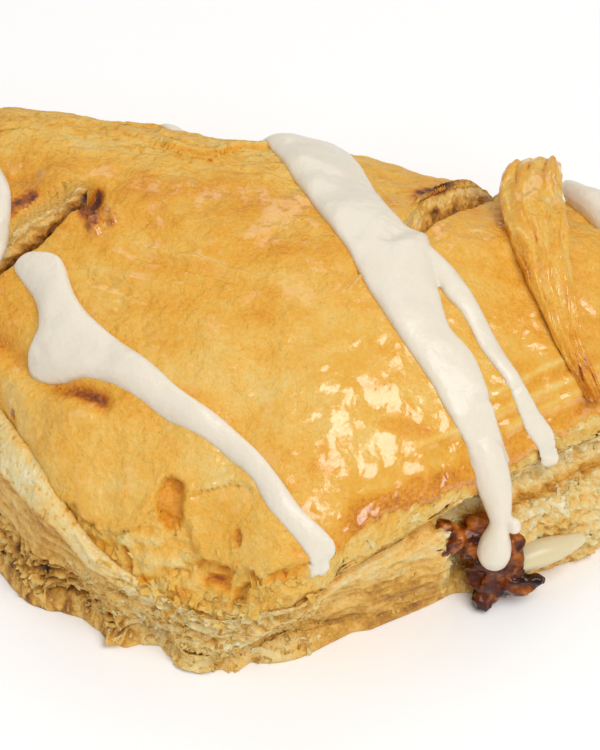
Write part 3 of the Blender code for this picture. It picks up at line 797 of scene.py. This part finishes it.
for number, (vent, top_across, pale) in enumerate(zip(VENTS, (3.3, 2.9), (0.30, 0.36))):
    name = "vent_wall_%d" % number
    mesh, u, v = square_grid(name, 120, 60)
    along = 0.03 + 0.94 * (u + 1) / 2
    fall = (1 - v) / 2
    ends = between(along, 0, 1, 0.22, 0.22)
    narrow = np.sqrt(np.sin(math.pi * along))
    high = vent_line(vent, along, top_across * narrow, 1.2 - 1.4 * ends)
    low = vent_line(vent, along, -2.2 * narrow, 1.8 + (vent["depth"] - 2.4) * ends)
    body = high * (1 - fall)[:, None] + low * fall[:, None]
    body[:, 2] += 0.5 * np.sin(fall * math.pi) * ends
    bx, by, bz = body.T
    creases = grain(bx, by, bz * 2.0, 2.4, 30 + number, 4)
    pores = grain(bx, by, bz, 0.8, 32, 2)
    step = ((0.70 - 0.4 * number) * creases + 0.28 * pores) * (0.3 + 0.7 * ends)
    write_points(mesh, body + np.outer(step, (0.3, -0.7, 0.65)))
    # Painted shadow: the top of the wall, just under the far lip, is darkened.
    darkening = 0.22 * ease(1 - fall / 0.13)
    deep = (0.56 - 0.30 * number) * ease((fall - 0.30) / 0.30)
    scorched = spot(along * 20, fall * 8, (12.6, 0.6), (3.6, 1.8))
    scorched = number * (scorched + 0.7 * spot(along * 20, fall * 8, (9.4, 3.2), (1.6, 1.2)))
    set_attribute(mesh, "tone", pale + darkening + deep + 0.5 * scorched - 0.16 * creases - 0.12 * pores)
    set_attribute(mesh, "glaze", 0.1 + 0.5 * deep)
    torn = bmesh.new()
    torn.from_mesh(mesh)
    bmesh.ops.solidify(torn, geom=torn.faces[:], thickness=0.5)
    bmesh.ops.recalc_face_normals(torn, faces=torn.faces)
    torn.to_mesh(mesh)
    torn.free()
    place(name, mesh, cut_dough, record_slot="pastry")


# ==== Loose flakes and shards ====================================================================
# Thin leaves of dough broken out of the layers, lying on the crumb or standing off it.
def tree_of(*pieces):
    """One ray-casting tree in millimetres from the heart, over finished pieces."""
    gathered = bmesh.new()
    for piece in pieces:
        gathered.from_mesh(piece.data)
    bmesh.ops.translate(gathered, verts=gathered.verts, vec=-HEART)
    bmesh.ops.scale(gathered, verts=gathered.verts, vec=(1000, 1000, 1000))
    tree = BVHTree.FromBMesh(gathered)
    gathered.free()
    return tree


crust_tree = tree_of(top_piece, crumb_piece)
SHARD_FIELDS = (
    # first and last direction, lowest and highest level in mm, count, size, tone, tilt in degrees
    (-168, -116, 0.5, 9.0, 300, 0.55, 0.46, 34),
    (-124, -98, 0.3, 12.0, 320, 0.75, 0.36, 28),
    (-104, -72, 0.3, 13.0, 420, 0.85, 0.40, 26),
    (-78, -45, 1.0, 17.0, 60, 0.6, 0.42, 26),
    (-40, 12, 3.0, 16.0, 260, 0.6, 0.22, 34),
)
LEAF_THICKNESS = 0.16


def toned_bmesh():
    """An empty bmesh whose points carry a tone and a glaze."""
    made = bmesh.new()
    for name in ("tone", "glaze"):
        made.verts.layers.float.new(name)
    return made


def wander(spread):
    """A random lean, three draws of the given spread."""
    return Vector([dice.gauss(0, spread) for _ in range(3)])


def struck(start, way):
    """Where a line first meets the crust, and the crust's normal there."""
    return crust_tree.ray_cast(Vector(start), Vector(way))[:2]


def flake(made, where, facing, width, length, seed, tone, glaze, cells=(5, 4), curl=(0.1, 0.5)):
    """Add one curled, ragged leaf of dough."""
    facing = facing.normalized()
    tone_layer, glaze_layer = made.verts.layers.float["tone"], made.verts.layers.float["glaze"]
    spin = Matrix.Rotation(dice.uniform(-math.pi, math.pi), 4, "Z")
    lay = Matrix.Translation(where) @ facing.to_track_quat("Z", "Y").to_matrix().to_4x4() @ spin
    grid = bmesh.ops.create_grid(made, x_segments=cells[0], y_segments=cells[1], size=0.5)["verts"]
    bend = dice.uniform(*curl)
    for vert in grid:
        ragged = 1 + 0.5 * noise.noise(vert.co * 2.3 + Vector((seed * 3.1, 0, 0)))
        ragged += 0.25 * noise.noise(vert.co * 6.0 + Vector((seed * 1.7, 5, 0)))
        local = Vector((vert.co.x * width * ragged, vert.co.y * length * ragged, 0.0))
        local.z = bend * (local.x ** 2) / max(width, 0.1) + 0.14 * width * noise.noise(local * 0.9 + where)
        vert.co = lay @ local
        vert[tone_layer] = tone
        vert[glaze_layer] = glaze


dice = random.Random(20)
# Shards over each zone of the crumb, found by looking in from the side.
shards = toned_bmesh()
for first, last, low, high, count, size, tone_mean, tilt in SHARD_FIELDS:
    for k in range(count):
        heading = math.radians(dice.uniform(first, last))
        level = dice.uniform(low, high)
        away = Vector((math.cos(heading), math.sin(heading), 0.0))
        hit, normal = struck(away * 120 + Vector((0, 0, level)), -away)
        if hit is None:
            continue
        lean = wander(1) * math.tan(math.radians(tilt)) * 0.5
        long = size * dice.uniform(0.5, 1.6)
        flake(shards, hit - normal * 0.08, normal + lean, long * dice.uniform(0.4, 0.8), long, k,
              tone_mean + dice.gauss(0, 0.09), 0.1)
# Skins lifted off the crumpled leaves at the near corner.
skins = toned_bmesh()
for k in range(110):
    x = dice.uniform(-21, 11)
    y = -40.3 + 0.02 * abs(x + 4) ** 1.6 + dice.gauss(0, 1.3)
    hit, normal = struck((x, y, 60), (0, 0, -1))
    if hit is None or hit.z < 7:
        continue
    lean = Vector((dice.gauss(0, 0.25), dice.gauss(0, 0.25), 0.0))
    long = dice.uniform(0.6, 2.4)
    flake(skins, hit + normal * dice.uniform(-0.05, 0.12), normal + lean, long * dice.uniform(0.35, 0.7),
          long, k + 500, 0.34 + dice.gauss(0, 0.07), 0.3, (9, 8), (-0.10, 0.3))
# Torn fibres hanging off the skin's edge on the right-hand front.
right_edge = resample(SKIN_EDGE[-13:], 80)
for k in range(170):
    t = dice.uniform(0, 1)
    edge_x, edge_y = right_edge[int(t * 79)]
    off = dice.uniform(0.3, 3.4)
    x, y = edge_x + 0.7 * off, edge_y - 0.7 * off
    hit, normal = struck((x, y, 60), (0, 0, -1))
    if hit is None or hit.z < 12:
        continue
    lean = wander(0.5)
    long = dice.uniform(0.7, 2.0)
    flake(shards, hit - normal * 0.12, normal + lean, long * dice.uniform(0.2, 0.5), long, k + 700,
          0.22 + dice.gauss(0, 0.06), 0.1)
for name, made, finish in (("loose_shards", shards, cut_dough), ("lifted_skin", skins, glazed_dough)):
    mesh = bpy.data.meshes.new(name)
    made.to_mesh(mesh)
    made.free()
    leaf_piece = place(name, mesh, finish, record_slot="pastry")
    thick = leaf_piece.modifiers.new("leaf_thickness", "SOLIDIFY")
    thick.thickness = LEAF_THICKNESS * MM
    thick.offset = 0.0


# ==== Sugar icing ================================================================================
# Plain water icing spooned across the warm pastry: off-white, rounded at its edges, softly shining.
icing, tree, shader = new_material("set_sugar_icing", Base_Color=linear("#e9dfcc"), Roughness=0.34,
                                   Specular_IOR_Level=0.45, Subsurface_Weight=0.35,
                                   Subsurface_Radius=(1.2, 1.0, 0.8), Subsurface_Scale=0.0012)
spots = add_node(tree, "ShaderNodeTexCoord").outputs["Object"]
ripple = add_node(tree, "ShaderNodeTexNoise", {"Vector": spots, "Scale": 1 / (4.0 * MM), "Detail": 3.0})
pits = add_node(tree, "ShaderNodeTexNoise", {"Vector": spots, "Scale": 1 / (0.6 * MM), "Detail": 2.0})
soft = add_node(tree, "ShaderNodeBump", {"Height": ripple.outputs["Fac"], "Distance": 0.5 * MM})
fine = add_node(tree, "ShaderNodeBump", {"Height": pits.outputs["Fac"], "Distance": 0.05 * MM,
                                         "Normal": soft.outputs["Normal"]})
tree.links.new(fine.outputs["Normal"], shader.inputs["Normal"])


RUN_STATIONS = 90


def bed_heights(x, y):
    """The crust's height under each spot, evened out; icing bridges slits and hangs off the rim."""
    dome = dome_height(x, y)
    beds = []
    for px, py, level in zip(x, y, dome):
        found = []
        for dx, dy in ((0, 0), (0.9, 0), (-0.9, 0), (0, 0.9), (0, -0.9)):
            hit, _ = struck((px + dx, py + dy, 90), (0, 0, -1))
            found.append(hit.z if hit is not None and abs(hit.z - level) < 1.8 else level - 0.5)
        beds.append(sum(found) / len(found))
    return np.array(beds)


def ribbon(made, left, right, thickness):
    """A run of icing between its two edges, with round shoulders and its underside in the crust."""
    left, right = resample(left, RUN_STATIONS), resample(right, RUN_STATIONS)
    last = RUN_STATIONS - 1
    grid = bmesh.ops.create_grid(made, x_segments=last, y_segments=28, size=1.0)["verts"]
    square = np.array([vert.co for vert in grid])
    station = np.clip(np.round((square[:, 0] + 1) / 2 * last).astype(int), 0, last)
    angle = (square[:, 1] + 1) * math.pi
    across = ((1 - np.cos(angle)) / 2)[:, None]
    path = left[station] * (1 - across) + right[station] * across
    width = np.linalg.norm(left - right, axis=1)[station]
    full = thickness * np.minimum(1.0, width / 5.0)
    full *= 1 + 0.25 * grain(*path.T, path[:, 0] * 0, 6.0, 40, 2)
    rise = np.sin(angle)
    lift = np.where(rise > 0, full * np.abs(rise) ** 0.75, -0.9 * np.abs(rise) ** 0.6)
    for vert, (x, y), z in zip(grid, path, bed_heights(*path.T) + lift):
        vert.co = Vector((x, y, z))
    bmesh.ops.remove_doubles(made, verts=grid, dist=0.002)


def cord(made, stations):
    """A round run of icing through (x, y, z, radius) stations, with round ends."""
    for x, y, z, radius in resample(stations, 40):
        bmesh.ops.create_icosphere(made, subdivisions=2, radius=max(radius, 0.3),
                                   matrix=Matrix.Translation((x, y, z)))


def pour(name, made, nodes, material, voxel=0.26, evening=8, record_slot="icing"):
    """Melt the runs of one poured piece together and even them out; voxel is in millimetres."""
    ring = [edge for edge in made.edges if edge.is_boundary]
    bmesh.ops.holes_fill(made, edges=ring, sides=0)
    bmesh.ops.recalc_face_normals(made, faces=made.faces)
    mesh = bpy.data.meshes.new(name)
    made.to_mesh(mesh)
    made.free()
    piece = place(name, mesh, material, *nodes, record_slot=record_slot)
    melt = piece.modifiers.new("melt", "REMESH")
    melt.mode = "VOXEL"
    melt.voxel_size = voxel * MM
    melt.use_smooth_shade = True
    even = piece.modifiers.new("even", "SMOOTH")
    even.iterations = evening
    even.factor = 0.5


run = bmesh.new()
ribbon(run, ((-9.2, 34.6), (-12.4, 33.4), (-10.8, 29.0), (-7.3, 23.2), (-3.2, 16.9), (1.4, 10.3),
             (5.8, 4.6), (10.2, -1.6), (15.1, -7.2), (19.3, -10.7), (22.7, -13.7), (25.2, -15.8),
             (27.6, -17.0), (29.4, -17.6)),
       ((-7.2, 34.7), (-3.2, 33.8), (1.2, 29.6), (6.2, 21.5), (9.8, 14.7), (12.2, 12.2), (16.2, 10.0),
        (17.7, 5.7), (19.8, 0.5), (22.2, -3.9), (25.9, -6.3), (28.7, -10.2), (31.1, -13.2), (32.8, -14.6)),
       2.0)
ribbon(run, ((14.8, 6.0), (18.6, 3.4), (20.4, 0.9), (23.8, -1.7), (26.6, -4.8), (30.3, -7.7), (32.6, -9.8),
             (34.8, -11.2), (37.0, -11.6)),
       ((16.7, 8.0), (21.0, 5.2), (25.4, 0.8), (30.7, -4.7), (34.0, -7.4), (37.2, -8.6), (38.8, -9.4),
        (38.8, -10.6)), 1.7)
cord(run, ((27.6, -14.2, 25.2, 2.2), (28.9, -15.3, 24.2, 2.9), (30.2, -16.6, 22.0, 2.8),
           (31.4, -18.0, 19.6, 2.4), (32.2, -19.4, 17.6, 1.9), (32.6, -20.2, 15.8, 1.5),
           (32.4, -20.8, 14.0, 1.7), (32.2, -21.2, 11.8, 2.35), (32.2, -21.4, 10.4, 2.45),
           (32.3, -21.5, 9.6, 2.0)))
cord(run, ((34.6, -20.6, 16.4, 0.9), (34.7, -20.7, 15.6, 1.0)))
pour("icing_main_run", run, ["icing_stripe_main"], icing)

run = bmesh.new()
ribbon(run, ((-38.6, -0.6), (-39.6, -2.7), (-35.2, -8), (-33.7, -12.3), (-34.5, -15.4), (-33, -18.2),
             (-28.8, -19.5), (-24.5, -19.6), (-18.4, -21.8), (-12.2, -24.7), (-4.7, -27.4), (0, -30.1),
             (3.5, -33.7), (8.1, -36.2), (10, -37.2), (11.0, -36.8)),
       ((-38.2, -0.4), (-33.1, -1.8), (-29.5, -7.6), (-25.8, -11.4), (-18.1, -16.8), (-10, -22), (-4, -24.5),
        (1.6, -28.1), (7.3, -32.5), (12.6, -34.5), (12.4, -35.6)), 2.0)
for x, y, z, radius in ((9.0, -36.5, 20.0, 0.8), (10.2, -36.7, 19.8, 0.9), (11.4, -36.2, 20.0, 0.9)):
    cord(run, ((x, y, z, radius), (x - 0.2, y - 0.6, z - 0.8, radius * 0.6)))
pour("icing_front_left_run", run, ["icing_stripe_front_left"], icing)

# The lobe and the far run on the left, and a drop on the fold at the back.
for name, node, left, right, thickness in (
        ("icing_left_lobe", "icing_lobe_left",
         ((-63, 29), (-65.6, 26.8), (-60.5, 20.5), (-54, 13.5), (-51, 6), (-51, -2), (-48.6, -6),
          (-47, -7.2)),
         ((-61, 29.2), (-57.6, 27.4), (-51, 22), (-46, 14.3), (-43, 9.3), (-41.6, 1.5), (-43.6, -4.6),
          (-45.8, -7)), 2.2),
        ("icing_far_left_run", "icing_stripe_far_left",
         ((-69.6, 27.2), (-70.6, 25), (-68.2, 20.5), (-65, 14), (-60.8, 7.5), (-57.8, 4), (-56.4, 3)),
         ((-68.6, 27.2), (-66.4, 25.8), (-62.7, 21.5), (-58.2, 15), (-55.4, 8.5), (-54.6, 5), (-55.8, 3.2)),
         1.8),
        ("icing_back_drop", "icing_drop_back",
         ((-27, 32), (-26.2, 29.8), (-24.6, 28.4)), ((-24.2, 32.6), (-23.2, 30.6), (-23.4, 29)), 1.5)):
    run = bmesh.new()
    ribbon(run, left, right, thickness)
    pour(name, run, [node], icing)

# Where the main run dripped off the rim a thin film of icing has soaked into the crumb.
soaked, _, _ = new_material("thin_icing_film", Base_Color=linear("#dccda4"), Roughness=0.28,
                             Subsurface_Weight=0.4, Subsurface_Radius=(1.5, 1.2, 0.8),
                             Subsurface_Scale=0.0015)
run = bmesh.new()
cord(run, ((34.2, -19.6, 7.0, 1.0), (35.6, -19.2, 7.2, 1.8), (38.0, -17.7, 7.4, 2.1),
           (40.6, -15.9, 7.4, 1.7), (43.0, -14.2, 7.6, 1.0)))
pour("icing_thin_film", run, [], soaked)

run = bmesh.new()
cord(run, ((32.4, 33.0, 28.4, 0.8), (33.4, 31.0, 29.4, 1.5), (35.0, 29.0, 30.0, 2.1),
           (37.4, 27.0, 30.8, 2.6), (40.5, 23.5, 31.4, 2.6), (43.0, 20.0, 31.0, 2.0)))
ribbon(run, ((32.6, 33.6), (36.0, 27.6), (42.2, 19), (47.0, 12.5), (50.2, 7.4), (52.6, 4.4)),
       ((35.6, 34.0), (44.2, 29.6), (50.0, 21.5), (54.0, 14.5), (55.8, 10.0), (55.6, 5.6)), 3.2)
pour("icing_right_run", run, ["icing_stripe_right"], icing)


# ==== Standing ear ===============================================================================
# A strip of dough caught up by the knife: it stands along the top on the right, ridged lengthwise
# with browned grooves and burnt at its lower end.
EAR = ((28.0, 30.4, 33.9, 3.5), (28.0, 27.6, 35.2, 4.3), (28.8, 21.5, 36.0, 4.5), (30.5, 16.4, 36.6, 4.3),
       (32.7, 10.4, 36.2, 3.6), (34.9, 6.1, 34.2, 2.8), (36.7, 2.7, 32.1, 2.2), (38.4, 0.2, 30.0, 1.8),
       (40.2, -1.5, 27.8, 1.6), (42.6, -3.2, 24.4, 1.2))
EAR_SIDE = Vector((0.94, 0.34, 0.0)).normalized()
EAR_STEPS = 149
ear = toned_bmesh()
tone_layer, glaze_layer = ear.verts.layers.float["tone"], ear.verts.layers.float["glaze"]
stations = resample(EAR, EAR_STEPS + 1)
grid = bmesh.ops.create_grid(ear, x_segments=EAR_STEPS, y_segments=96, size=1.0)["verts"]
for vert in grid:
    k = min(EAR_STEPS, int(round((vert.co.x + 1) / 2 * EAR_STEPS)))
    run_share = k / EAR_STEPS
    angle = (vert.co.y + 1) * math.pi
    x, y, z, half = stations[k]
    ahead = Vector(stations[min(k + 2, EAR_STEPS)][:3]) - Vector(stations[max(k - 2, 0)][:3])
    ahead = ahead.normalized()
    up = EAR_SIDE.cross(ahead)
    up = up if up.z > 0 else -up
    across, rise = math.cos(angle), math.sin(angle)
    lane = across * 1.9 + 0.9 * noise.noise(Vector((run_share * 3.5, across * 1.5, 0)))
    ridge = abs(math.sin(lane * math.pi)) ** 0.45
    ridge = 1 - (1 - ridge) * (0.55 + 0.9 * noise.noise(Vector((run_share * 6, round(lane) * 7.1, 3))))
    crease = 1 - ridge
    end = min(1.0, run_share / 0.03) ** 0.5
    height = (1.8 if rise > 0 else 3.4) * (0.65 + 0.35 * min(1.0, run_share * 6)) * (1 - 0.45 * run_share)
    lift = math.copysign(abs(rise) ** 0.8, rise) * height * end
    lift += 0.9 * (ridge - 0.5) * max(0.0, rise) * (1 - 0.5 * run_share)
    torn = 1.1 * noise.noise(Vector((across * 1.6, 4.0, 0))) * max(0.0, 1 - run_share / 0.12)
    body = Vector((x, y, z)) + EAR_SIDE * across * half * (0.7 + 0.3 * end) + up * lift - ahead * torn
    rumple = noise.fractal(Vector((across * 3.0, run_share * 9.0, rise)), 1.0, 2.0, 5)
    body += up * rumple * 0.55 + EAR_SIDE * rumple * 0.3
    vert.co = body
    brown = max(0.0, crease - 0.30) * 0.70 + 0.20 * max(0.0, run_share - 0.55) / 0.45
    # Painted shade: the ear's left flank and underside are darkened.
    side = 0.12 * max(0.0, -across) * max(0.0, 1 - rise)
    vert[tone_layer] = 0.41 + brown + side + 0.16 * rumple
    vert[glaze_layer] = 0.55
bmesh.ops.remove_doubles(ear, verts=grid, dist=0.002)
bmesh.ops.holes_fill(ear, edges=[edge for edge in ear.edges if edge.is_boundary], sides=0)
bmesh.ops.recalc_face_normals(ear, faces=ear.faces)
mesh = bpy.data.meshes.new("ear")
ear.to_mesh(mesh)
ear.free()
place("standing_ear", mesh, glazed_dough, record_slot="pastry")


# ==== Apple filling ==============================================================================
# Apple cooked down to a dark sticky jam: it has boiled out of the front seam and set there, and
# shows in the left vent.
jam, tree, shader = new_material("cooked_apple_jam", Roughness=0.20, Specular_IOR_Level=0.2,
                                 Coat_Weight=0.35, Coat_Roughness=0.03, Subsurface_Weight=0.10,
                                 Subsurface_Scale=0.001, Subsurface_Radius=(1.5, 0.5, 0.15))
spots = add_node(tree, "ShaderNodeTexCoord").outputs["Object"]
clots = add_node(tree, "ShaderNodeTexNoise", {"Vector": spots, "Scale": 1 / (2.2 * MM), "Detail": 4.0})
height = add_node(tree, "ShaderNodeSeparateXYZ", {"Vector": spots}).outputs["Z"]
thin = add_node(tree, "ShaderNodeMapRange", {"Value": height, "From Min": 5 * MM, "From Max": 13 * MM,
                                             "To Min": 0.0, "To Max": 0.18})
shade = add_node(tree, "ShaderNodeMath", {0: clots.outputs["Fac"], 1: thin.outputs["Result"]},
                 operation="ADD")
ramp = add_node(tree, "ShaderNodeValToRGB", {"Fac": shade.outputs[0]},
                ((0.38, "#260a00"), (0.56, "#622402"), (0.76, "#b8681a")))
tree.links.new(ramp.outputs["Color"], shader.inputs["Base Color"])
bubbles = add_node(tree, "ShaderNodeTexVoronoi", {"Vector": spots, "Scale": 1 / (1.1 * MM)})
blister = add_node(tree, "ShaderNodeBump", {"Height": bubbles.outputs["Distance"], "Distance": 0.15 * MM},
                   invert=True)
tree.links.new(blister.outputs["Normal"], shader.inputs["Normal"])

JAM_SPIKES = 0.26


def clot(made, centre, radii, seed):
    """A lump of set jam: a ball pulled out into a few blunt points."""
    ball = bmesh.ops.create_icosphere(made, subdivisions=5, radius=1.0)["verts"]
    shift = Vector((seed * 5.3, 0, 0))
    for vert in ball:
        way = vert.co.normalized()
        reach = 1 + JAM_SPIKES * (1 - 2.6 * abs(noise.noise(way * 1.3 + shift))) * 1.3 - JAM_SPIKES * 0.5
        reach += 0.12 * noise.noise(way * 3.0 + shift)
        vert.co = Vector((way.x * radii[0], way.y * radii[1], way.z * radii[2])) * reach + Vector(centre)
        vert.co.z = max(vert.co.z, 0.04)


leak = bmesh.new()
for centre, radii, seed in (
        ((26.4, -20.0, 11.0), (2.8, 1.2, 1.5), 1), ((28.8, -19.8, 9.4), (3.0, 1.6, 2.4), 2),
        ((31.2, -20.4, 6.8), (3.2, 1.9, 3.1), 3), ((31.8, -21.2, 3.8), (3.1, 2.0, 3.2), 4),
        ((31.2, -22.6, 1.6), (1.5, 1.6, 1.6), 5), ((35.0, -20.8, 4.0), (3.0, 1.5, 2.0), 6),
        ((34.6, -19.6, 10.6), (1.5, 1.2, 2.2), 7), ((34.6, -20.0, 7.4), (1.8, 1.5, 2.4), 8),
        ((22.2, -23.6, 12.3), (2.9, 1.2, 0.8), 13), ((24.2, -22.6, 10.6), (2.0, 1.2, 1.7), 14),
        ((24.6, -20.8, 13.4), (2.4, 1.3, 0.8), 11), ((26.2, -21.4, 11.6), (1.7, 1.3, 2.2), 12),
        ((30.8, -18.4, 12.6), (3.4, 1.4, 1.4), 9), ((37.8, -20.4, 4.8), (1.6, 0.9, 0.9), 10)):
    clot(leak, centre, radii, seed)
pour("apple_leak", leak, ["apple_filling"], jam, 0.28, 1, "filling")

# Lumps of it low in the left vent.
chunks = bmesh.new()
for k in range(22):
    t = dice.uniform(0.05, 0.5)
    spread = dice.uniform(-1.2, 1.2)
    base = vent_line(VENTS[0], np.array([t]), np.array([-1.6 + spread]), np.array([6.6]))[0]
    clot(chunks, base, [dice.uniform(0.5, 1.3) for _ in range(3)], k)
pour("vent_filling", chunks, ["apple_filling"], jam, 0.3, 1, "filling")
